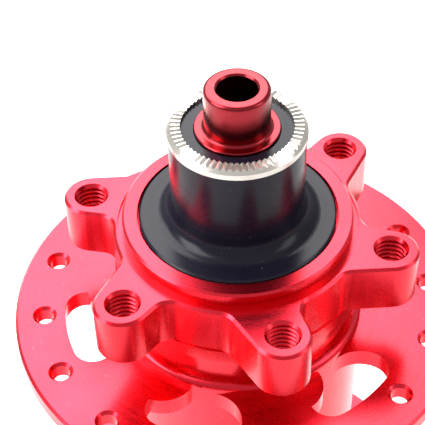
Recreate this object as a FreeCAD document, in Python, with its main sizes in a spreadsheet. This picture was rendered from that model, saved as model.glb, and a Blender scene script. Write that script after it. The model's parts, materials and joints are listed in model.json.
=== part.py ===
import FreeCAD, Part
import math
import os
import re
import Sketcher

# Rear bicycle hub for a six-bolt disc rotor and a splined cassette.
# Millimetres.  The hub's axis is Z: the disc side points up (+Z), the drive side down (-Z),
# and the origin is half way between the two faces that the frame clamps.
# +X passes through one of the six rotor bolt holes.

DIMENSIONS = {
    # axle: one tube with a stub at each end for the frame's dropouts
    "stub_end_z": 73.85,
    "stub_radius": 4.49,
    "stub_edge_fillet": 0.55,
    "stub_root_fillet": 0.45,
    "skewer_radius": 2.75,
    "skewer_mouth_radius": 3.0,
    "shoulder_z": 67.45,
    "shoulder_radius": 5.83,
    "shoulder_chamfer": 0.12,
    "axle_radius": 7.5,
    "axle_middle_radius": 8.5,
    "disc_step_z": 56.2,
    "drive_step_z": 58.5,
    "ring_groove_z": 62.0,
    "ring_groove_radius": 5.0,
    "ring_groove_half": 0.6,
    "o_ring_section": 0.43,
    # end caps and the serrated rings that bite the frame
    "cap_radius": 9.35,
    "cap_seat_z": 66.22,
    "cap_nose_z": 67.0,
    "cap_nose_radius": 7.6,
    "cap_bore_radius": 5.9,
    "cap_boss_radius": 9.1,
    "cap_boss_height": 0.8,
    "skirt_radius": 13.95,
    "skirt_top_z": 52.05,
    "skirt_chamfer": 0.25,
    "skirt_fillet": 2.4,
    "sleeve_gap": 0.03,
    "face_ring_inner": 7.63,
    "face_ring_outer": 9.5,
    "face_ring_land": 8.9,
    "face_ring_edge_z": 67.0,
    "tooth_top_z": 67.62,
    "serration_depth": 0.3,
    "serration_half": 0.3,
    "serration_count": 64,
    # hub shell, disc end
    "collar_top_z": 51.9,
    "collar_radius": 16.35,
    "collar_chamfer": 0.3,
    "collar_bore_radius": 14.25,
    "relief_radius": 17.2,
    "relief_depth": 0.35,
    "rotor_face_z": 49.8,
    "lobe_thickness": 7.7,
    "lobe_core_radius": 17.7,
    "lobe_centre_x": 22.05,
    "lobe_centre_y": -0.1,
    "lobe_round": 3.95,
    "lobe_lead_lean": 5.3,
    "lobe_trail_lean": 18.4,
    "lobe_foot_x": 15.0,
    "lobe_fillet": 2.4,
    "lobe_chamfer": 0.38,
    "bolt_circle_radius": 22.0,
    "bolt_minor_radius": 2.1,
    "bolt_major_radius": 2.5,
    "bolt_pitch": 0.8,
    "bolt_lead_in": 0.48,
    "shelf_radius": 17.9,
    "shelf_z": 40.0,
    "neck_radius": 17.0,
    "neck_end_z": 35.3,
    # hub shell, barrel and flanges
    "barrel_radius": 18.44,
    "barrel_fillet": 1.1,
    "disc_flange_z": 33.5,
    "drive_flange_z": -21.0,
    "flange_thickness": 2.9,
    "flange_radius": 33.5,
    "flange_chamfer": 0.4,
    "flange_turn": -1.5,
    "disc_spoke_circle": 29.1,
    "drive_spoke_circle": 28.0,
    "spoke_hole_radius": 1.35,
    "spoke_hole_chamfer": 0.45,
    "spoke_count": 16,
    "disc_window_outer": 26.05,
    "window_half_angle": 17.3,
    "window_inner_round": 4.9,
    "window_outer_round": 3.0,
    "drive_window_inner": 22.4,
    "drive_window_outer": 25.4,
    "drive_window_round": 1.4,
    "flare_start_z": -13.5,
    "flare_end_z": -18.5,
    "flare_radius": 21.0,
    "housing_radius": 20.6,
    "housing_end_z": -29.2,
    "housing_chamfer": 0.35,
    "hollow_radius": 12.6,
    "ratchet_seat_radius": 19.0,
    "ratchet_seat_z": -20.0,
    # bearings: the large one is 15 x 28 x 7, the small one 15 x 24 x 5
    "large_outer_radius": 14.0,
    "large_width": 7.0,
    "large_pitch_radius": 10.75,
    "large_ball_radius": 1.75,
    "large_ball_count": 14,
    "large_outer_bore": 12.3,
    "large_inner_rim": 9.3,
    "large_cage_half": 2.4,
    "large_cage_inner": 10.2,
    "large_cage_outer": 11.3,
    "small_outer_radius": 12.0,
    "small_width": 5.0,
    "small_pitch_radius": 9.78,
    "small_ball_radius": 1.19,
    "small_ball_count": 18,
    "small_outer_bore": 10.75,
    "small_inner_rim": 8.85,
    "small_cage_half": 1.6,
    "small_cage_inner": 9.4,
    "small_cage_outer": 10.2,
    "ball_gap": 0.06,
    "seal_thickness": 0.5,
    "seal_inset": 0.2,
    "seal_gap": 0.1,
    "race_chamfer": 0.3,
    "disc_bearing_z": 46.0,
    "drive_bearing_z": -15.9,
    "inner_freehub_bearing_z": -32.7,
    "outer_freehub_bearing_z": -54.0,
    "spacer_radius": 9.0,
    # freehub: pawl carrier, cassette splines, lockring thread
    "carrier_radius": 15.6,
    "carrier_bore_radius": 9.7,
    "carrier_top_z": -20.3,
    "stop_flange_z": -29.5,
    "stop_flange_radius": 18.4,
    "stop_flange_thickness": 1.3,
    "spline_radius": 17.25,
    "spline_root_radius": 16.3,
    "spline_slot_half": 2.1,
    "spline_slot_far": 19.0,
    "spline_count": 9,
    "key_slot_start": 1.3,
    "freehub_end_z": -65.2,
    "freehub_end_chamfer": 0.5,
    "freehub_hollow_radius": 12.4,
    "lockring_minor_radius": 14.8,
    "lockring_major_radius": 15.3,
    "lockring_pitch": 1.0,
    "lockring_lead_in": 0.5,
    # ratchet: toothed ring in the shell, sprung pawls in the carrier
    "tooth_tip_radius": 16.4,
    "tooth_root_radius": 17.4,
    "tooth_face_angle": 28.9,
    "tooth_span": 9.2,
    "tooth_count": 36,
    "ratchet_ring_end_z": -28.0,
    "pivot_x": 13.4,
    "pivot_radius": 1.8,
    "pivot_gap": 0.08,
    "pawl_heel_x": 11.9,
    "pawl_back_x": 15.2,
    "pawl_tip_x": 14.05,
    "pawl_tip_y": 7.85,
    "pawl_toe_x": 12.3,
    "pawl_toe_y": 7.35,
    "pawl_top_z": -21.2,
    "pawl_thickness": 5.8,
    "pocket_floor_x": 10.9,
    "pocket_end_y": 8.8,
    "pocket_open_x": 18.0,
    "pocket_gap": 0.2,
    "spring_gauge": 0.22,
    "spring_lift": 0.75,
    "spring_start_y": 2.4,
    "spring_bend_y": 5.2,
    "spring_end_y": 7.9,
    "seal_lip_radius": 15.72,
    "seal_lip_height": 0.35,
    "seal_lip_lean": 0.6,
    "freehub_seal_thickness": 1.0,
    # how far a cutting outline runs past the surface that it cuts
    "overrun": 0.5,
}

LOBES = 6
WINDOWS = 6
PAWLS = 3
LOCKRING_TURNS = 6
BOLT_TURNS = 8
SKETCH_ORIGIN = -1
SCREW_FLANK = math.tan(math.radians(30))

doc = FreeCAD.newDocument("disc_hub")
sheet = doc.addObject("Spreadsheet::Sheet", "dims")
sub_parts = []


# ---------------------------------------------------------------- sheet and formulas

def fill_sheet():
    """Write every driving dimension into the sheet under its own name."""
    for row, (name, size) in enumerate(DIMENSIONS.items(), start=1):
        sheet.set("A%d" % row, name)
        sheet.set("B%d" % row, str(size))
        sheet.setAlias("B%d" % row, name)
    doc.recompute()


def bound(text):
    """A formula in which each dimension's name reads from the sheet."""
    def from_sheet(word):
        name = word.group(0)
        return "dims." + name if name in DIMENSIONS else name
    return re.sub(r"[a-z_]+", from_sheet, text)


def value(text):
    """The formula's present value."""
    return float(sheet.evalExpression(bound(text)))


def bind(thing, setting, text):
    thing.setExpression(setting, bound(text))


# ---------------------------------------------------------------- bodies and sketches

def new_body(label):
    body = doc.addObject("PartDesign::Body", label)
    body.Label = label
    body.AllowCompound = True
    sub_parts.append(body)
    return body


def origin_item(body, role):
    """The body's own origin plane or axis with this role."""
    return next(item for item in body.Origin.OriginFeatures if item.Role == role)


def new_sketch(body, plane, lift="0", side="0", turn="0"):
    """A sketch on an origin plane, moved by lift and side and turned about its normal."""
    sketch = body.newObject("Sketcher::SketchObject", body.Name + "_sketch")
    sketch.AttachmentSupport = [(origin_item(body, plane), "")]
    sketch.MapMode = "FlatFace"
    spin = FreeCAD.Rotation(FreeCAD.Vector(0, 0, 1), value(turn))
    place = FreeCAD.Vector(value(side), 0, value(lift))
    sketch.AttachmentOffset = FreeCAD.Placement(place, spin)
    bind(sketch, "AttachmentOffset.Base.x", side)
    bind(sketch, "AttachmentOffset.Base.z", lift)
    if turn != "0":
        bind(sketch, "AttachmentOffset.Rotation.Angle", turn)
    return sketch


def arc_between(start, end, radius, centre_side):
    """The short arc from start to end with its centre on the left (+1) or right (-1)."""
    chord = end - start
    middle = (start + end) * 0.5
    reach = math.sqrt(max(radius ** 2 - (chord.Length / 2) ** 2, 0.0))
    normal = FreeCAD.Vector(-chord.y, chord.x, 0).normalize()
    centre = middle + normal * (reach * centre_side)
    bulge = middle - normal * ((radius - reach) * centre_side)
    if reach == 0:
        bulge = centre - normal * (radius * centre_side)
    return Part.Arc(start, bulge, end)


def draw_outline(sketch, corners):
    """Close an outline through corners, each bound to the sheet.

    A corner is (x, y), followed by a straight side, or (x, y, radius, centre side),
    followed by an arc.  A centre side of 0 marks a half circle bulging to the right.
    """
    count = len(corners)
    first = sketch.GeometryCount
    places = [FreeCAD.Vector(value(corner[0]), value(corner[1]), 0) for corner in corners]
    ends = []
    curves = []
    rules = []
    for index, corner in enumerate(corners):
        start = places[index]
        end = places[(index + 1) % count]
        if len(corner) == 2:
            curves.append(Part.LineSegment(start, end))
            ends.append((1, 2))
            continue
        side = corner[3] or 1
        curves.append(arc_between(start, end, value(corner[2]), side))
        ends.append((1, 2) if side > 0 else (2, 1))
    sketch.addGeometry(curves, False)
    for index in range(count):
        after = (index + 1) % count
        joined = (first + index, ends[index][1], first + after, ends[after][0])
        rules.append(Sketcher.Constraint("Coincident", *joined))
    sketch.addConstraint(rules)
    for index, corner in enumerate(corners):
        point = (first + index, ends[index][0])
        for kind, text in (("DistanceX", corner[0]), ("DistanceY", corner[1])):
            rule = Sketcher.Constraint(kind, SKETCH_ORIGIN, 1, *point, value(text))
            bind(sketch, "Constraints[%d]" % sketch.addConstraint(rule), text)
        if len(corner) == 4 and corner[3] != 0:
            rule = Sketcher.Constraint("Radius", first + index, value(corner[2]))
            bind(sketch, "Constraints[%d]" % sketch.addConstraint(rule), corner[2])


def draw_circle(sketch, across, up, radius):
    """A full circle whose centre and radius are bound to the sheet."""
    centre = FreeCAD.Vector(value(across), value(up), 0)
    circle = Part.Circle(centre, FreeCAD.Vector(0, 0, 1), value(radius))
    number = sketch.addGeometry(circle, False)
    for kind, text in (("DistanceX", across), ("DistanceY", up)):
        rule = Sketcher.Constraint(kind, SKETCH_ORIGIN, 1, number, 3, value(text))
        bind(sketch, "Constraints[%d]" % sketch.addConstraint(rule), text)
    rule = Sketcher.Constraint("Radius", number, value(radius))
    bind(sketch, "Constraints[%d]" % sketch.addConstraint(rule), radius)


def box_corners(near, far, low, high):
    return [(near, low), (far, low), (far, high), (near, high)]


# ---------------------------------------------------------------- features

def feature(body, kind, sketch=None):
    made = body.newObject("PartDesign::" + kind, "%s_%s" % (body.Name, kind.lower()))
    if sketch is not None:
        made.Profile = sketch
    return made


def finish_feature(body, made):
    """Recompute and make this feature the body's result."""
    body.Tip = made
    doc.recompute()
    return made


def volume_of(body):
    return 0.0 if body.Shape.isNull() else body.Shape.Volume


def expect_cut(body, before, label):
    """A cut that points away from the solid changes nothing, so that is an error."""
    if volume_of(body) > before - 1e-3:
        raise RuntimeError("no material removed: %s %s" % (body.Label, label))


def revolve(body, *outlines):
    """Turn outlines of (radius, z) corners about Z."""
    sketch = new_sketch(body, "XZ_Plane")
    for outline in outlines:
        draw_outline(sketch, outline)
    made = feature(body, "Revolution", sketch)
    made.ReferenceAxis = (sketch, ["V_Axis"])
    made.Angle = 360
    return finish_feature(body, made)


def turn_away(body, *outlines, side="0"):
    """Cut outlines of (radius, z) corners about Z, or about a parallel axis at x = side."""
    before = volume_of(body)
    sketch = new_sketch(body, "XZ_Plane", side=side)
    for outline in outlines:
        draw_outline(sketch, outline)
    made = feature(body, "Groove", sketch)
    made.ReferenceAxis = (sketch, ["V_Axis"])
    made.Angle = 360
    finish_feature(body, made)
    expect_cut(body, before, "groove")
    return made


def pad(body, sketch, length):
    made = feature(body, "Pad", sketch)
    made.Length = value(length)
    bind(made, "Length", length)
    return finish_feature(body, made)


def pocket(body, sketch, length, forward=False, taper=0):
    """Cut a sketch's area down to a depth, along the sketch's normal if forward."""
    before = volume_of(body)
    made = feature(body, "Pocket", sketch)
    made.Length = value(length)
    made.Reversed = forward
    made.TaperAngle = taper
    bind(made, "Length", length)
    finish_feature(body, made)
    expect_cut(body, before, "pocket")
    return made


def repeat(body, originals, count):
    """Repeat features round Z; count is a number or a dimension's name."""
    made = body.newObject("PartDesign::PolarPattern", body.Name + "_pattern")
    made.Originals = originals
    made.Axis = (origin_item(body, "Z_Axis"), [""])
    made.Angle = 360
    if isinstance(count, str):
        made.Occurrences = int(value(count))
        bind(made, "Occurrences", count)
    else:
        made.Occurrences = count
    return finish_feature(body, made)


def edges_where(body, test):
    """Names of the body's edges that pass a test."""
    edges = body.Tip.Shape.Edges
    return ["Edge%d" % number for number, edge in enumerate(edges, start=1) if test(edge)]


def dress(body, kind, test, size):
    """Fillet or chamfer the edges that pass a test."""
    names = edges_where(body, test)
    if not names:
        raise RuntimeError("no edges to dress on " + body.Label)
    base = body.Tip
    made = body.newObject("PartDesign::" + kind, "%s_%s" % (body.Name, kind.lower()))
    made.Base = (base, names)
    setting = "Radius" if kind == "Fillet" else "Size"
    bind(made, setting, size)
    return finish_feature(body, made)


def is_ring(edge, radius, height):
    """True for a full circle about any upright axis with this radius and height."""
    curve = edge.Curve
    if not isinstance(curve, Part.Circle) or not edge.isClosed():
        return False
    return abs(curve.Radius - radius) < 0.01 and abs(curve.Center.z - height) < 0.01


def is_ring_pair(edge, radius, height):
    """True for either of two equal circles, one at this height and one as far below Z = 0."""
    return is_ring(edge, radius, height) or is_ring(edge, radius, -height)


def is_upright(edge, radius):
    """True for a straight edge along Z at this distance from the axis."""
    if not isinstance(edge.Curve, Part.Line):
        return False
    ends = [vertex.Point for vertex in edge.Vertexes]
    same = math.hypot(ends[0].x - ends[1].x, ends[0].y - ends[1].y) < 0.01
    return same and abs(math.hypot(ends[0].x, ends[0].y) - radius) < 0.02


# ---------------------------------------------------------------- axle, caps and rings

def make_axle():
    body = new_body("axle")
    upper = [
        ("skewer_mouth_radius", "stub_end_z"),
        ("stub_radius", "stub_end_z"),
        ("stub_radius", "shoulder_z"),
        ("shoulder_radius - shoulder_chamfer", "shoulder_z"),
        ("shoulder_radius", "shoulder_z - shoulder_chamfer"),
        ("shoulder_radius", "ring_groove_z + ring_groove_half"),
        ("ring_groove_radius", "ring_groove_z + ring_groove_half"),
        ("ring_groove_radius", "ring_groove_z - ring_groove_half"),
        ("shoulder_radius", "ring_groove_z - ring_groove_half"),
    ]
    lower = [(radius, "-(%s)" % height) for radius, height in reversed(upper)]
    disc_side = [
        ("shoulder_radius", "disc_step_z"),
        ("axle_radius", "disc_step_z"),
        ("axle_radius", "disc_bearing_z - large_width / 2"),
        ("axle_middle_radius", "disc_bearing_z - large_width / 2"),
    ]
    drive_side = [
        ("axle_middle_radius", "drive_bearing_z + large_width / 2"),
        ("axle_radius", "drive_bearing_z + large_width / 2"),
        ("axle_radius", "-drive_step_z"),
        ("shoulder_radius", "-drive_step_z"),
    ]
    mouth = "(skewer_mouth_radius - skewer_radius)"
    bore = [
        ("skewer_radius", "%s - stub_end_z" % mouth),
        ("skewer_radius", "stub_end_z - %s" % mouth),
    ]
    revolve(body, upper + disc_side + drive_side + lower + bore)
    radius = value("stub_radius")
    for place, size in (("stub_end_z", "stub_edge_fillet"), ("shoulder_z", "stub_root_fillet")):
        height = value(place)
        dress(body, "Fillet", lambda edge: is_ring_pair(edge, radius, height), size)


def make_o_rings():
    body = new_body("end_cap_o_rings")
    for side in ("", "-"):
        sketch = new_sketch(body, "XZ_Plane")
        middle = "ring_groove_radius + o_ring_section"
        draw_circle(sketch, middle, side + "ring_groove_z", "o_ring_section")
        made = feature(body, "Revolution", sketch)
        made.ReferenceAxis = (sketch, ["V_Axis"])
        made.Angle = 360
        finish_feature(body, made)


def cap_nose(sign):
    """The outer end of a cap: ring seat, nose, and bore over the axle's shoulder."""
    return [
        ("cap_radius", sign + "cap_seat_z"),
        ("cap_nose_radius", sign + "cap_seat_z"),
        ("cap_nose_radius", sign + "cap_nose_z"),
        ("cap_bore_radius", sign + "cap_nose_z"),
    ]


def make_disc_end_cap():
    body = new_body("disc_end_cap")
    boss_z = "disc_bearing_z + large_width / 2"
    revolve(body, [
        ("axle_radius + sleeve_gap", boss_z),
        ("cap_boss_radius", boss_z),
        ("cap_boss_radius", "%s + cap_boss_height" % boss_z),
        ("skirt_radius", "%s + cap_boss_height" % boss_z),
        ("skirt_radius", "skirt_top_z - skirt_chamfer"),
        ("skirt_radius - skirt_chamfer", "skirt_top_z"),
        ("cap_radius", "skirt_top_z"),
    ] + cap_nose("") + [
        ("cap_bore_radius", "disc_step_z"),
        ("axle_radius + sleeve_gap", "disc_step_z"),
    ])
    radius = value("cap_radius")
    height = value("skirt_top_z")
    dress(body, "Fillet", lambda edge: is_ring(edge, radius, height), "skirt_fillet")


def make_drive_end_cap():
    body = new_body("drive_end_cap")
    boss_z = "outer_freehub_bearing_z - large_width / 2"
    revolve(body, [
        ("axle_radius + sleeve_gap", boss_z),
        ("cap_boss_radius", boss_z),
        ("cap_boss_radius", "%s - cap_boss_height" % boss_z),
        ("cap_radius", "%s - cap_boss_height" % boss_z),
    ] + cap_nose("-") + [
        ("cap_bore_radius", "-drive_step_z"),
        ("axle_radius + sleeve_gap", "-drive_step_z"),
    ])


def make_face_ring(label, sign):
    """Serrated steel ring: radial V notches between sharp ridges."""
    body = new_body(label)
    revolve(body, [
        ("face_ring_inner", sign + "cap_seat_z"),
        ("face_ring_outer", sign + "cap_seat_z"),
        ("face_ring_outer", sign + "face_ring_edge_z"),
        ("face_ring_land", sign + "tooth_top_z"),
        ("face_ring_inner", sign + "tooth_top_z"),
    ])
    sketch = new_sketch(body, "YZ_Plane", lift="cap_bore_radius")
    draw_outline(sketch, [
        ("-serration_half", sign + "tooth_top_z"),
        ("serration_half", sign + "tooth_top_z"),
        ("0", sign + "(tooth_top_z - serration_depth)"),
    ])
    notch = pocket(body, sketch, "face_ring_outer - cap_bore_radius + overrun", forward=True)
    repeat(body, [notch], "serration_count")


def make_spacer(label, top, bottom):
    """Sleeve on the axle that carries the clamping load between two inner races."""
    body = new_body(label)
    revolve(body, box_corners("axle_radius + sleeve_gap", "spacer_radius", bottom, top))


# ---------------------------------------------------------------- hub shell

def make_rotor_lobes(body):
    """Six leaning lobes round a core, each with a rounded end."""
    sketch = new_sketch(body, "XY_Plane", lift="rotor_face_z - lobe_thickness")
    draw_circle(sketch, "0", "0", "lobe_core_radius")
    pad(body, sketch, "lobe_thickness")
    sketch = new_sketch(body, "XY_Plane", lift="rotor_face_z - lobe_thickness")
    trail_x = "(lobe_centre_x + lobe_round * sin(lobe_trail_lean))"
    trail_y = "(lobe_centre_y - lobe_round * cos(lobe_trail_lean))"
    lead_x = "(lobe_centre_x - lobe_round * sin(lobe_lead_lean))"
    lead_y = "(lobe_centre_y + lobe_round * cos(lobe_lead_lean))"
    draw_outline(sketch, [
        ("lobe_foot_x", "%s - (%s - lobe_foot_x) * tan(lobe_trail_lean)" % (trail_y, trail_x)),
        (trail_x, trail_y, "lobe_round", 1),
        (lead_x, lead_y),
        ("lobe_foot_x", "%s - (%s - lobe_foot_x) * tan(lobe_lead_lean)" % (lead_y, lead_x)),
    ])
    lobe = pad(body, sketch, "lobe_thickness")
    repeat(body, [lobe], LOBES)
    core = value("lobe_core_radius")
    dress(body, "Fillet", lambda edge: is_upright(edge, core), "lobe_fillet")
    top = value("rotor_face_z")
    dress(body, "Chamfer", lambda edge: edge.BoundBox.ZMin > top - 0.01, "lobe_chamfer")


def make_shell_outside(body):
    disc_back = "disc_flange_z - flange_thickness"
    drive_back = "drive_flange_z - flange_thickness"
    rim = "flange_radius - flange_chamfer"
    revolve(body, [
        ("0", "collar_top_z"),
        ("collar_radius - collar_chamfer", "collar_top_z"),
        ("collar_radius", "collar_top_z - collar_chamfer"),
        ("collar_radius", "rotor_face_z - lobe_thickness"),
        ("shelf_radius", "rotor_face_z - lobe_thickness"),
        ("shelf_radius", "shelf_z"),
        ("neck_radius", "shelf_z"),
        ("neck_radius", "neck_end_z"),
        ("barrel_radius", "neck_end_z"),
        ("barrel_radius", "disc_flange_z"),
        (rim, "disc_flange_z"),
        ("flange_radius", "disc_flange_z - flange_chamfer"),
        ("flange_radius", "%s + flange_chamfer" % disc_back),
        (rim, disc_back),
        ("barrel_radius", disc_back),
        ("barrel_radius", "flare_start_z"),
        ("flare_radius", "flare_end_z"),
        ("flare_radius", "drive_flange_z"),
        (rim, "drive_flange_z"),
        ("flange_radius", "drive_flange_z - flange_chamfer"),
        ("flange_radius", "%s + flange_chamfer" % drive_back),
        (rim, drive_back),
        ("housing_radius", drive_back),
        ("housing_radius", "housing_end_z + housing_chamfer"),
        ("housing_radius - housing_chamfer", "housing_end_z"),
        ("0", "housing_end_z"),
    ])


def make_shell_inside(body):
    drive_seat_z = "drive_bearing_z + large_width / 2"
    disc_seat_z = "disc_bearing_z - large_width / 2"
    bearing_top_z = "disc_bearing_z + large_width / 2"
    turn_away(body, [
        ("0", "collar_top_z + overrun"),
        ("collar_bore_radius", "collar_top_z + overrun"),
        ("collar_bore_radius", bearing_top_z),
        ("large_outer_radius", bearing_top_z),
        ("large_outer_radius", disc_seat_z),
        ("hollow_radius", disc_seat_z),
        ("hollow_radius", drive_seat_z),
        ("large_outer_radius", drive_seat_z),
        ("large_outer_radius", "ratchet_seat_z"),
        ("ratchet_seat_radius", "ratchet_seat_z"),
        ("ratchet_seat_radius", "housing_end_z - overrun"),
        ("0", "housing_end_z - overrun"),
    ])
    turn_away(body, box_corners("collar_radius", "relief_radius",
                                "rotor_face_z - relief_depth", "rotor_face_z + overrun"))


def thread_corners(top, minor, major, pitch, turns):
    """Going down from top: flat crests at minor, 60 degree flanks, flat roots at major."""
    flank = "(%s - %s) * %.4f" % (major, minor, SCREW_FLANK)
    corners = []
    for turn in range(turns):
        crest = "%s - %s * %d" % (top, pitch, turn)
        corners.append((minor, crest))
        corners.append((minor, "%s - %s / 4" % (crest, pitch)))
        corners.append((major, "%s - %s / 4 - %s" % (crest, pitch, flank)))
        corners.append((major, "%s - %s + %s" % (crest, pitch, flank)))
    corners.append((minor, "%s - %s * %d" % (top, pitch, turns)))
    return corners


def cut_bolt_holes(body):
    """M5 threaded holes through the lobes, chamfered at both mouths."""
    top = "rotor_face_z"
    bottom = "(rotor_face_z - lobe_thickness)"
    lead_in = "(bolt_major_radius - bolt_minor_radius)"
    first_crest = "(rotor_face_z - bolt_lead_in)"
    hole = turn_away(body, [
        ("0", "%s + overrun" % top),
        ("bolt_major_radius", "%s + overrun" % top),
        ("bolt_major_radius", top),
    ] + thread_corners(first_crest, "bolt_minor_radius", "bolt_major_radius", "bolt_pitch",
                       BOLT_TURNS) + [
        ("bolt_minor_radius", "%s + %s" % (bottom, lead_in)),
        ("bolt_major_radius", bottom),
        ("bolt_major_radius", "%s - overrun" % bottom),
        ("0", "%s - overrun" % bottom),
    ], side="bolt_circle_radius")
    repeat(body, [hole], LOBES)


def cut_spoke_holes(body, flange_z, circle, turn):
    sketch = new_sketch(body, "XY_Plane", lift=flange_z, turn=turn)
    draw_circle(sketch, circle, "0", "spoke_hole_radius")
    hole = pocket(body, sketch, "flange_thickness")
    repeat(body, [hole], "spoke_count")
    radius = value("spoke_hole_radius")
    heights = (value(flange_z), value(flange_z + " - flange_thickness"))
    dress(body, "Chamfer",
          lambda edge: any(is_ring(edge, radius, height) for height in heights),
          "spoke_hole_chamfer")


def window_corners(inner, outer, half, near_round, far_round):
    """A ring sector with rounded corners, symmetric about local X."""
    near = "(%s + %s)" % (inner, near_round)
    far = "(%s - %s)" % (outer, far_round)
    near_turn = "(%s - asin(%s / %s) / 1 deg)" % (half, near_round, near)
    far_turn = "(%s - asin(%s / %s) / 1 deg)" % (half, far_round, far)
    near_side = "sqrt(%s ^ 2 - (%s) ^ 2)" % (near, near_round)
    far_side = "sqrt(%s ^ 2 - (%s) ^ 2)" % (far, far_round)

    def polar(radius, angle, sign=""):
        return ("%s * cos(%s)" % (radius, angle), "%s%s * sin(%s)" % (sign, radius, angle))

    return [
        polar(inner, near_turn, "-") + (near_round, -1),
        polar(near_side, half, "-"),
        polar(far_side, half, "-") + (far_round, 1),
        polar(outer, far_turn, "-") + (outer, 1),
        polar(outer, far_turn) + (far_round, 1),
        polar(far_side, half),
        polar(near_side, half) + (near_round, 1),
        polar(inner, near_turn) + (inner, -1),
    ]


def cut_windows(body, flange_z, inner, outer, near_round, far_round):
    """Lightening windows, half way between the lobes."""
    turn = "180 / %d + flange_turn" % WINDOWS
    sketch = new_sketch(body, "XY_Plane", lift=flange_z, turn=turn)
    draw_outline(sketch, window_corners(inner, outer, "window_half_angle",
                                        near_round, far_round))
    opening = pocket(body, sketch, "flange_thickness")
    repeat(body, [opening], WINDOWS)


def make_hub_shell():
    body = new_body("hub_shell")
    make_rotor_lobes(body)
    make_shell_outside(body)
    radius = value("barrel_radius")
    height = value("neck_end_z")
    dress(body, "Fillet", lambda edge: is_ring(edge, radius, height), "barrel_fillet")
    make_shell_inside(body)
    cut_windows(body, "disc_flange_z", "barrel_radius", "disc_window_outer",
                "window_inner_round", "window_outer_round")
    cut_windows(body, "drive_flange_z", "drive_window_inner", "drive_window_outer",
                "drive_window_round", "drive_window_round")
    cut_spoke_holes(body, "disc_flange_z", "disc_spoke_circle", "flange_turn")
    cut_spoke_holes(body, "drive_flange_z", "drive_spoke_circle",
                    "flange_turn + 180 / spoke_count")
    cut_bolt_holes(body)


# ---------------------------------------------------------------- bearings

def make_race(label, size, middle, inner, outer, outer_edge_is_out):
    """One race: a chamfered ring with a ball groove, clear of the balls by ball_gap."""
    body = new_body(label)
    low = "%s - %s_width / 2" % (middle, size)
    high = "%s + %s_width / 2" % (middle, size)
    seat = outer if outer_edge_is_out else inner
    eased = seat + (" - race_chamfer" if outer_edge_is_out else " + race_chamfer")
    rim = inner if outer_edge_is_out else outer
    revolve(body, [
        (rim, low),
        (eased, low),
        (seat, "%s + race_chamfer" % low),
        (seat, "%s - race_chamfer" % high),
        (eased, high),
        (rim, high),
    ])
    before = volume_of(body)
    sketch = new_sketch(body, "XZ_Plane")
    draw_circle(sketch, size + "_pitch_radius", middle, size + "_ball_radius + ball_gap")
    made = feature(body, "Groove", sketch)
    made.ReferenceAxis = (sketch, ["V_Axis"])
    made.Angle = 360
    finish_feature(body, made)
    expect_cut(body, before, "ball groove")


def make_seals(label, size, middle):
    """A pair of shields, one inside each face of the outer race."""
    body = new_body(label)
    inner = "%s_inner_rim + seal_gap" % size
    outer = "%s_outer_bore" % size
    face = "(%s_width / 2 - seal_inset)" % size
    inside = "(%s_width / 2 - seal_inset - seal_thickness)" % size
    for sign in ("+", "-"):
        near = "%s %s %s" % (middle, sign, inside)
        far = "%s %s %s" % (middle, sign, face)
        revolve(body, box_corners(inner, outer, near, far))


def make_balls(label, size, middle):
    body = new_body(label)
    radius = size + "_ball_radius"
    sketch = new_sketch(body, "XZ_Plane", side=size + "_pitch_radius")
    draw_outline(sketch, [
        ("0", "%s - %s" % (middle, radius), radius, 0),
        ("0", "%s + %s" % (middle, radius)),
    ])
    made = feature(body, "Revolution", sketch)
    made.ReferenceAxis = (sketch, ["V_Axis"])
    made.Angle = 360
    ball = finish_feature(body, made)
    repeat(body, [ball], size + "_ball_count")


def make_cage(label, size, middle):
    """A ring between the races with a round pocket for each ball."""
    body = new_body(label)
    half = size + "_cage_half"
    revolve(body, box_corners(size + "_cage_inner", size + "_cage_outer",
                              "%s - %s" % (middle, half), "%s + %s" % (middle, half)))
    sketch = new_sketch(body, "YZ_Plane")
    draw_circle(sketch, "0", middle, size + "_ball_radius + ball_gap")
    hole = pocket(body, sketch, size + "_outer_radius", forward=True)
    repeat(body, [hole], size + "_ball_count")


def make_bearing(name, size):
    middle = name + "_bearing_z"
    make_race(name + "_bearing_outer_race", size, middle,
              size + "_outer_bore", size + "_outer_radius", True)
    make_race(name + "_bearing_inner_race", size, middle,
              "axle_radius", size + "_inner_rim", False)
    make_seals(name + "_bearing_seals", size, middle)
    make_cage(name + "_bearing_cage", size, middle)
    make_balls(name + "_bearing_balls", size, middle)


# ---------------------------------------------------------------- freehub and ratchet

def make_freehub_body():
    body = new_body("freehub_body")
    inner_low = "inner_freehub_bearing_z - small_width / 2"
    inner_high = "inner_freehub_bearing_z + small_width / 2"
    outer_low = "(outer_freehub_bearing_z - large_width / 2)"
    outer_high = "outer_freehub_bearing_z + large_width / 2"
    thread_top = "(freehub_end_z + lockring_pitch * %d + lockring_lead_in)" % LOCKRING_TURNS
    revolve(body, [
        ("carrier_bore_radius", "carrier_top_z"),
        ("carrier_radius", "carrier_top_z"),
        ("carrier_radius", "stop_flange_z"),
        ("stop_flange_radius", "stop_flange_z"),
        ("stop_flange_radius", "stop_flange_z - stop_flange_thickness"),
        ("spline_radius", "stop_flange_z - stop_flange_thickness"),
        ("spline_radius", "freehub_end_z + freehub_end_chamfer"),
        ("spline_radius - freehub_end_chamfer", "freehub_end_z"),
        ("lockring_major_radius", "freehub_end_z"),
    ] + list(reversed(thread_corners(thread_top, "lockring_minor_radius", "lockring_major_radius",
                                     "lockring_pitch", LOCKRING_TURNS))) + [
        ("lockring_minor_radius", outer_low),
        ("large_outer_radius", outer_low),
        ("large_outer_radius", outer_high),
        ("freehub_hollow_radius", outer_high),
        ("freehub_hollow_radius", inner_low),
        ("small_outer_radius", inner_low),
        ("small_outer_radius", inner_high),
        ("carrier_bore_radius", inner_high),
    ])
    cut_splines(body)
    cut_pawl_pockets(body)


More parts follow.
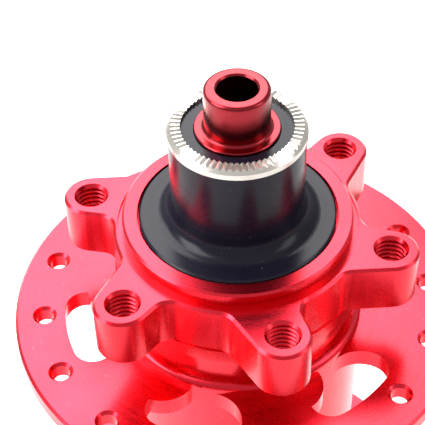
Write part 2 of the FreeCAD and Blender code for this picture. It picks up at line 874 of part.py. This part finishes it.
def cut_splines(body):
    """Nine slots leave nine splines; a second slot narrows one of them as the key."""
    start = "stop_flange_z - stop_flange_thickness"
    length = "stop_flange_z - stop_flange_thickness - freehub_end_z + overrun"
    turn = "180 / spline_count"
    sketch = new_sketch(body, "XY_Plane", lift=start, turn=turn)
    draw_outline(sketch, box_corners("spline_root_radius", "spline_slot_far",
                                     "-spline_slot_half", "spline_slot_half"))
    slot = pocket(body, sketch, length)
    repeat(body, [slot], "spline_count")
    sketch = new_sketch(body, "XY_Plane", lift=start)
    draw_outline(sketch, box_corners("spline_root_radius", "spline_slot_far",
                                     "key_slot_start", "key_slot_start + 2 * spline_slot_half"))
    pocket(body, sketch, length)


def cut_pawl_pockets(body):
    top = "pawl_top_z + pocket_gap"
    depth = "pawl_thickness + 2 * pocket_gap"
    sketch = new_sketch(body, "XY_Plane", lift=top)
    draw_outline(sketch, box_corners("pocket_floor_x", "pocket_open_x", "0", "pocket_end_y"))
    room = pocket(body, sketch, depth)
    sketch = new_sketch(body, "XY_Plane", lift=top)
    draw_circle(sketch, "pivot_x", "0", "pivot_radius + pivot_gap")
    seat = pocket(body, sketch, depth)
    repeat(body, [room, seat], PAWLS)


def make_pawl(number):
    """A pawl lies folded against its pocket and turns out about its round heel."""
    body = new_body("pawl_%d" % number)
    sketch = new_sketch(body, "XY_Plane", lift="pawl_top_z - pawl_thickness")
    draw_circle(sketch, "pivot_x", "0", "pivot_radius")
    pad(body, sketch, "pawl_thickness")
    sketch = new_sketch(body, "XY_Plane", lift="pawl_top_z - pawl_thickness")
    draw_outline(sketch, [
        ("pawl_heel_x", "0"),
        ("pawl_back_x", "0"),
        ("pawl_tip_x", "pawl_tip_y"),
        ("pawl_toe_x", "pawl_toe_y"),
    ])
    pad(body, sketch, "pawl_thickness")
    turn = 360.0 / PAWLS * (number - 1)
    spin = FreeCAD.Rotation(FreeCAD.Vector(0, 0, 1), turn)
    body.Placement = FreeCAD.Placement(FreeCAD.Vector(0, 0, 0), spin)


def make_pawl_springs():
    """Bent leaf under each pawl, its ends on the pocket's floor."""
    body = new_body("pawl_springs")
    sketch = new_sketch(body, "XY_Plane", lift="pawl_top_z - pawl_thickness")
    crest = "pocket_floor_x + spring_lift"
    draw_outline(sketch, [
        ("pocket_floor_x", "spring_start_y"),
        ("pocket_floor_x + spring_gauge", "spring_start_y"),
        (crest, "spring_bend_y"),
        ("pocket_floor_x + spring_gauge", "spring_end_y"),
        ("pocket_floor_x", "spring_end_y"),
        (crest + " - spring_gauge", "spring_bend_y"),
    ])
    leaf = pad(body, sketch, "pawl_thickness")
    repeat(body, [leaf], PAWLS)


def make_ratchet_ring():
    """Steel ring with saw teeth that face the pawl tips."""
    body = new_body("ratchet_ring")
    revolve(body, box_corners("tooth_tip_radius", "ratchet_seat_radius",
                              "ratchet_ring_end_z", "ratchet_seat_z"))
    inside = "(tooth_tip_radius - overrun)"
    back = "(tooth_face_angle - tooth_span)"
    sketch = new_sketch(body, "XY_Plane", lift="ratchet_seat_z")
    draw_outline(sketch, [
        (inside + " * cos(tooth_face_angle)", inside + " * sin(tooth_face_angle)"),
        ("tooth_root_radius * cos(tooth_face_angle)", "tooth_root_radius * sin(tooth_face_angle)"),
        ("tooth_tip_radius * cos%s" % back, "tooth_tip_radius * sin%s" % back),
        ("%s * cos%s" % (inside, back), "%s * sin%s" % (inside, back)),
    ])
    gap = pocket(body, sketch, "ratchet_seat_z - ratchet_ring_end_z")
    repeat(body, [gap], "tooth_count")


def make_freehub_seal():
    """Rubber lip seal in the shell's mouth, its lip just clear of the carrier."""
    body = new_body("freehub_seal")
    top = "housing_end_z + freehub_seal_thickness"
    revolve(body, [
        ("seal_lip_radius + seal_lip_lean", "housing_end_z"),
        ("ratchet_seat_radius", "housing_end_z"),
        ("ratchet_seat_radius", top),
        ("seal_lip_radius", top),
        ("seal_lip_radius", "%s - seal_lip_height" % top),
    ])


# ---------------------------------------------------------------- build, check, write

def build():
    fill_sheet()
    make_axle()
    make_o_rings()
    make_disc_end_cap()
    make_drive_end_cap()
    make_face_ring("disc_face_ring", "")
    make_face_ring("drive_face_ring", "-")
    make_spacer("axle_spacer", "drive_bearing_z - large_width / 2",
                "inner_freehub_bearing_z + small_width / 2")
    make_spacer("freehub_spacer", "inner_freehub_bearing_z - small_width / 2",
                "outer_freehub_bearing_z + large_width / 2")
    make_hub_shell()
    make_bearing("disc", "large")
    make_bearing("drive", "large")
    make_bearing("inner_freehub", "small")
    make_bearing("outer_freehub", "large")
    make_freehub_body()
    for number in range(1, PAWLS + 1):
        make_pawl(number)
    make_pawl_springs()
    make_ratchet_ring()
    make_freehub_seal()
    doc.recompute()


def check():
    """Stop at any failed object, and at any sub-part without a sound shape."""
    for item in doc.Objects:
        if {"Invalid", "Error"} & set(item.State):
            raise RuntimeError("failed object: " + item.Label)
    for body in sub_parts:
        if body.Shape.isNull() or not body.Shape.isValid():
            raise RuntimeError("bad shape: " + body.Label)


def write():
    os.makedirs("parts", exist_ok=True)
    for body in sub_parts:
        body.Shape.exportStep("parts/%s.step" % body.Label)
        print("%-36s solids %2d  volume %10.2f" % (
            body.Label, len(body.Shape.Solids), body.Shape.Volume))


build()
check()
write()
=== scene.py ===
import json
import math

import bpy
from mathutils import Matrix, Vector


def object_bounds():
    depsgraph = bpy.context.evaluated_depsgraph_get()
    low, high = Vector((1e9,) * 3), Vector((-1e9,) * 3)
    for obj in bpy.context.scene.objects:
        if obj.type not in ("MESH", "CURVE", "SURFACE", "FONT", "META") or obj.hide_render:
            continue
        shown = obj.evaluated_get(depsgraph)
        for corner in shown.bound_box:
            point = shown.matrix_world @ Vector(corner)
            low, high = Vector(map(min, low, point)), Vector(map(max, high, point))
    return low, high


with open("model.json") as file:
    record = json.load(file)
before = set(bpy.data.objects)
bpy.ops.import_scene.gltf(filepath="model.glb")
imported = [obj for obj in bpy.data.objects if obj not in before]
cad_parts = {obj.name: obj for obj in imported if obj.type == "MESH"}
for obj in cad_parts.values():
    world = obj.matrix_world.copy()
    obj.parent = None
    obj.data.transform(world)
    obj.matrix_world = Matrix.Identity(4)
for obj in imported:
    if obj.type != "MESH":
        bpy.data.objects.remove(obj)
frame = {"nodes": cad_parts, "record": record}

CAD_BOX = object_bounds()
MM = 0.001

# Viewing angle: the lens looks down at the disc end from the front.
AZIMUTH = math.radians(14.59)
ELEVATION = math.radians(44.20)
DISTANCE = 181.34 * MM
ROLL = math.radians(0.246)
PAN = math.radians(-1.129)
TILT = math.radians(-0.386)
LENS = 108.0
SENSOR = 36.0
ROTOR_FACE = 49.8 * MM
FLOOR_REACH = 3.0
WHITE = (1.0, 1.0, 1.0, 1.0)
SKY = 0.62  # strength of the even white light from all round

# Sizes of the surface detail, in cycles per metre.
TOOL_MARKS = 9000.0
TOOL_PASSES = 2600.0
TOOL_BANDS = 900.0
CLOUDS = 70.0
GRIT = 5200.0
NICKS = 1900.0
MOULD_CLOUDS = 180.0
MOULD_GRAIN = 6000.0
PAPER_CLOUDS = 40.0


# ---------------------------------------------------------------- node helpers

class Graph:
    """A short way to add and join shader nodes."""

    def __init__(self, name):
        self.material = bpy.data.materials.new(name)
        self.material.use_nodes = True
        self.tree = self.material.node_tree
        self.tree.nodes.clear()
        self.shader = self.add("ShaderNodeBsdfPrincipled")
        output = self.add("ShaderNodeOutputMaterial")
        self.join(self.shader, "BSDF", output, "Surface")
        self.place = self.add("ShaderNodeTexCoord")

    def add(self, kind, **settings):
        node = self.tree.nodes.new(kind)
        for name, setting in settings.items():
            setattr(node, name, setting)
        return node

    def join(self, source, out, target, into):
        self.tree.links.new(source.outputs[out], target.inputs[into])

    def math(self, operation, first, second=None):
        """A math node; each operand is a number or a (node, output) pair."""
        node = self.add("ShaderNodeMath", operation=operation)
        for slot, operand in enumerate((first, second)):
            if operand is None:
                continue
            if isinstance(operand, tuple):
                self.join(operand[0], operand[1], node, slot)
            else:
                node.inputs[slot].default_value = operand
        return (node, "Value")

    def position(self):
        """The point's x, y and z in the object's own frame, in metres."""
        split = self.add("ShaderNodeSeparateXYZ")
        self.join(self.place, "Object", split, "Vector")
        return [(split, axis) for axis in "XYZ"]

    def radius(self):
        """Distance from the hub's axis."""
        x, y, _ = self.position()
        squares = self.math("ADD", self.math("MULTIPLY", x, x), self.math("MULTIPLY", y, y))
        return self.math("SQRT", squares)

    def noise(self, scale, detail, roughness, vector=None):
        """Noise over the object, or along a vector of its own; scale is in cycles per metre."""
        texture = self.add("ShaderNodeTexNoise")
        texture.inputs["Scale"].default_value = scale
        texture.inputs["Detail"].default_value = detail
        texture.inputs["Roughness"].default_value = roughness
        source, out = vector or (self.place, "Object")
        self.join(source, out, texture, "Vector")
        return (texture, "Fac")

    def turned(self, along=True):
        """A vector that is the same all the way round the axis: radius, and height if along."""
        both = self.add("ShaderNodeCombineXYZ")
        radius = self.radius()
        self.join(radius[0], radius[1], both, "X")
        if along:
            _, _, z = self.position()
            self.join(z[0], z[1], both, "Y")
        return (both, "Vector")

    def spread(self, source, low, high, dark, light):
        """Map a value's range low..high to dark..light, clamped."""
        node = self.add("ShaderNodeMapRange")
        self.join(source[0], source[1], node, "Value")
        node.inputs["From Min"].default_value = low
        node.inputs["From Max"].default_value = high
        node.inputs["To Min"].default_value = dark
        node.inputs["To Max"].default_value = light
        return (node, "Result")

    def blend_colours(self, factor, first, second):
        """Mix two colours by a factor; the first is a colour or another blend."""
        node = self.add("ShaderNodeMix", data_type="RGBA")
        self.join(factor[0], factor[1], node, "Factor")
        from_colour, to_colour = [socket for socket in node.inputs if socket.type == "RGBA"]
        to_colour.default_value = second
        if isinstance(first, tuple):
            from_colour.default_value = first
        else:
            self.tree.links.new(first, from_colour)
        return next(socket for socket in node.outputs if socket.type == "RGBA")

    def paint(self, blend):
        """Use a blend as the base colour."""
        self.tree.links.new(blend, self.shader.inputs["Base Color"])

    def bump(self, height, strength, distance):
        node = self.add("ShaderNodeBump")
        node.inputs["Strength"].default_value = strength
        node.inputs["Distance"].default_value = distance
        self.join(height[0], height[1], node, "Height")
        self.join(node, "Normal", self.shader, "Normal")

    def feed(self, source, into):
        self.join(source[0], source[1], self.shader, into)

    def set(self, **settings):
        for name, setting in settings.items():
            self.shader.inputs[name.replace("_", " ")].default_value = setting


# ---------------------------------------------------------------- materials

def turned_metal(name, colour, shade, rough, groove,
                 coat=0.0, metal=1.0, level=0.5, along=True):
    """Turned metal: circular tool marks, blotches in the finish, fine grit and pale nicks.

    groove is the tool marks' depth in metres; along lets the marks run up the side walls.
    """
    graph = Graph(name)
    around = graph.turned(along)
    marks = graph.noise(TOOL_MARKS, 2.0, 0.6, vector=around)
    passes = graph.noise(TOOL_PASSES, 1.0, 0.5, vector=around)
    bands = graph.noise(TOOL_BANDS, 2.0, 0.5, vector=around)
    clouds = graph.noise(CLOUDS, 4.0, 0.55)
    grit = graph.noise(GRIT, 2.0, 0.6)
    nicks = graph.noise(NICKS, 1.0, 0.5)
    tone = graph.spread(clouds, 0.35, 0.68, 0.0, 1.0)
    finish = graph.blend_colours(tone, shade + (1.0,), colour + (1.0,))
    pale = tuple(min(part * 0.7 + 0.12, 1.0) for part in colour)
    graph.paint(graph.blend_colours(graph.spread(nicks, 0.74, 0.80, 0.0, 0.3), finish, pale + (1.0,)))
    wear = graph.math("MULTIPLY", graph.math("ADD", bands, grit), 0.5)
    graph.feed(graph.spread(wear, 0.3, 0.7, rough * 0.75, rough * 1.3), "Roughness")
    cuts = graph.math("ADD", graph.math("MULTIPLY", marks, 0.4), graph.math("MULTIPLY", passes, 1.2))
    height = graph.math("ADD", cuts, graph.math("MULTIPLY", grit, 0.2))
    graph.bump(height, 1.0, groove)
    graph.set(Metallic=metal, Specular_IOR_Level=level)
    graph.set(Coat_Weight=coat, Coat_Roughness=0.2, Coat_IOR=1.5)
    return graph.material


def moulded(name, colour, shade, rough, grain):
    """Rubber or nylon: no metal, a fine grain and uneven sheen."""
    graph = Graph(name)
    clouds = graph.noise(MOULD_CLOUDS, 4.0, 0.6)
    fine = graph.noise(MOULD_GRAIN, 3.0, 0.6)
    tone = graph.spread(clouds, 0.3, 0.7, 0.0, 1.0)
    graph.paint(graph.blend_colours(tone, shade + (1.0,), colour + (1.0,)))
    graph.feed(graph.spread(clouds, 0.3, 0.7, rough * 0.8, min(rough * 1.2, 1.0)), "Roughness")
    graph.bump(fine, 1.0, grain)
    return graph.material


def make_materials():
    metals = {
        # name: colour, shade, roughness, depth of the tool marks, other settings
        "red_anodised_shell": ((0.82, 0.016, 0.040), (0.72, 0.008, 0.024), 0.28, 1.2e-6,
                               {"coat": 0.42, "along": False}),
        "red_anodised": ((0.34, 0.007, 0.016), (0.22, 0.004, 0.010), 0.22, 8e-7, {"coat": 0.42}),
        "black_anodised": ((0.010, 0.009, 0.018), (0.006, 0.005, 0.012), 0.24, 6e-7,
                           {"metal": 0.0, "level": 0.2}),
        "nickel_steel": ((0.72, 0.68, 0.62), (0.56, 0.53, 0.48), 0.18, 1e-6, {"metal": 0.85}),
        "bearing_steel": ((0.62, 0.62, 0.63), (0.52, 0.52, 0.53), 0.12, 2e-7, {}),
        "tool_steel": ((0.33, 0.33, 0.35), (0.22, 0.22, 0.24), 0.36, 8e-7, {}),
        "spring_steel": ((0.45, 0.44, 0.42), (0.34, 0.33, 0.32), 0.25, 4e-7, {}),
        "plain_alloy": ((0.72, 0.72, 0.74), (0.60, 0.60, 0.62), 0.30, 7e-7, {}),
    }
    mouldings = {
        # name: colour, shade, roughness, depth of the grain
        "cage_plastic": ((0.34, 0.22, 0.10), (0.24, 0.15, 0.07), 0.5, 2e-6),
        "black_rubber": ((0.018, 0.018, 0.018), (0.010, 0.010, 0.010), 0.55, 3e-6),
    }
    made = {name: turned_metal(name, *row[:4], **row[4]) for name, row in metals.items()}
    made.update({name: moulded(name, *row) for name, row in mouldings.items()})
    return made


def dress_nodes(materials):
    """Each CAD node takes the material of the slot that the record gives it."""
    for row in frame["record"]["subparts"]:
        node = frame["nodes"][row["node"]]
        material = materials[row["material_slot"]]
        node.data.materials.clear()
        node.data.materials.append(material)


# ---------------------------------------------------------------- stage, lights, camera

def add_floor():
    low = CAD_BOX[0][2]
    graph = Graph("paper")
    soft = graph.noise(PAPER_CLOUDS, 2.0, 0.5)
    graph.paint(graph.blend_colours(soft, (0.93, 0.93, 0.935, 1.0), (0.96, 0.96, 0.96, 1.0)))
    graph.set(Roughness=0.9)
    mesh = bpy.data.meshes.new("floor")
    signs = ((-1, -1), (1, -1), (1, 1), (-1, 1))
    corners = [(x * FLOOR_REACH, y * FLOOR_REACH, low) for x, y in signs]
    mesh.from_pydata(corners, [], [(0, 1, 2, 3)])
    floor = bpy.data.objects.new("floor", mesh)
    bpy.context.scene.collection.objects.link(floor)
    mesh.materials.append(graph.material)


def add_panel(name, azimuth, elevation, distance, size, watts):
    """A soft box aimed at the rotor mount; angles in degrees, azimuth from the camera's side."""
    around = AZIMUTH + math.radians(azimuth - 90)
    up = math.radians(elevation)
    target = Vector((0, 0, ROTOR_FACE))
    away = Vector((math.cos(around) * math.cos(up), math.sin(around) * math.cos(up), math.sin(up)))
    data = bpy.data.lights.new(name, "AREA")
    data.shape = "RECTANGLE"
    data.size, data.size_y = size
    data.energy = watts
    lamp = bpy.data.objects.new(name, data)
    lamp.location = target + away * distance
    lamp.rotation_euler = away.to_track_quat("Z", "Y").to_euler()
    bpy.context.scene.collection.objects.link(lamp)


def add_lights():
    world = bpy.data.worlds.new("studio")
    world.use_nodes = True
    background = world.node_tree.nodes["Background"]
    background.inputs["Color"].default_value = WHITE
    background.inputs["Strength"].default_value = SKY
    bpy.context.scene.world = world
    add_panel("back_top", -152, 50, 0.8, (0.9, 0.5), 9.0)
    add_panel("left_key", -75, 40, 0.8, (0.4, 0.6), 6.0)
    add_panel("right_fill", 80, 30, 0.9, (0.3, 0.6), 1.5)


def add_camera():
    data = bpy.data.cameras.new("camera")
    data.lens = LENS
    data.sensor_width = SENSOR
    data.clip_start = 0.01
    camera = bpy.data.objects.new("camera", data)
    bpy.context.scene.collection.objects.link(camera)
    back = Vector((0, -math.cos(ELEVATION), math.sin(ELEVATION)))
    across = Vector((1, 0, 0))
    level = Matrix((across, back.cross(across), back))
    aim = Matrix.Rotation(ROLL, 3, "Z") @ Matrix.Rotation(TILT, 3, "X") @ Matrix.Rotation(PAN, 3, "Y")
    orbit = Matrix.Rotation(AZIMUTH, 3, "Z")
    turn = orbit @ (aim @ level).transposed()
    place = orbit @ (back * DISTANCE) + Vector((0, 0, ROTOR_FACE))
    camera.matrix_world = Matrix.Translation(place) @ turn.to_4x4()
    bpy.context.scene.camera = camera


# ---------------------------------------------------------------- make the scene

dress_nodes(make_materials())
add_floor()
add_lights()
add_camera()
bpy.context.scene.view_settings.view_transform = "Standard"
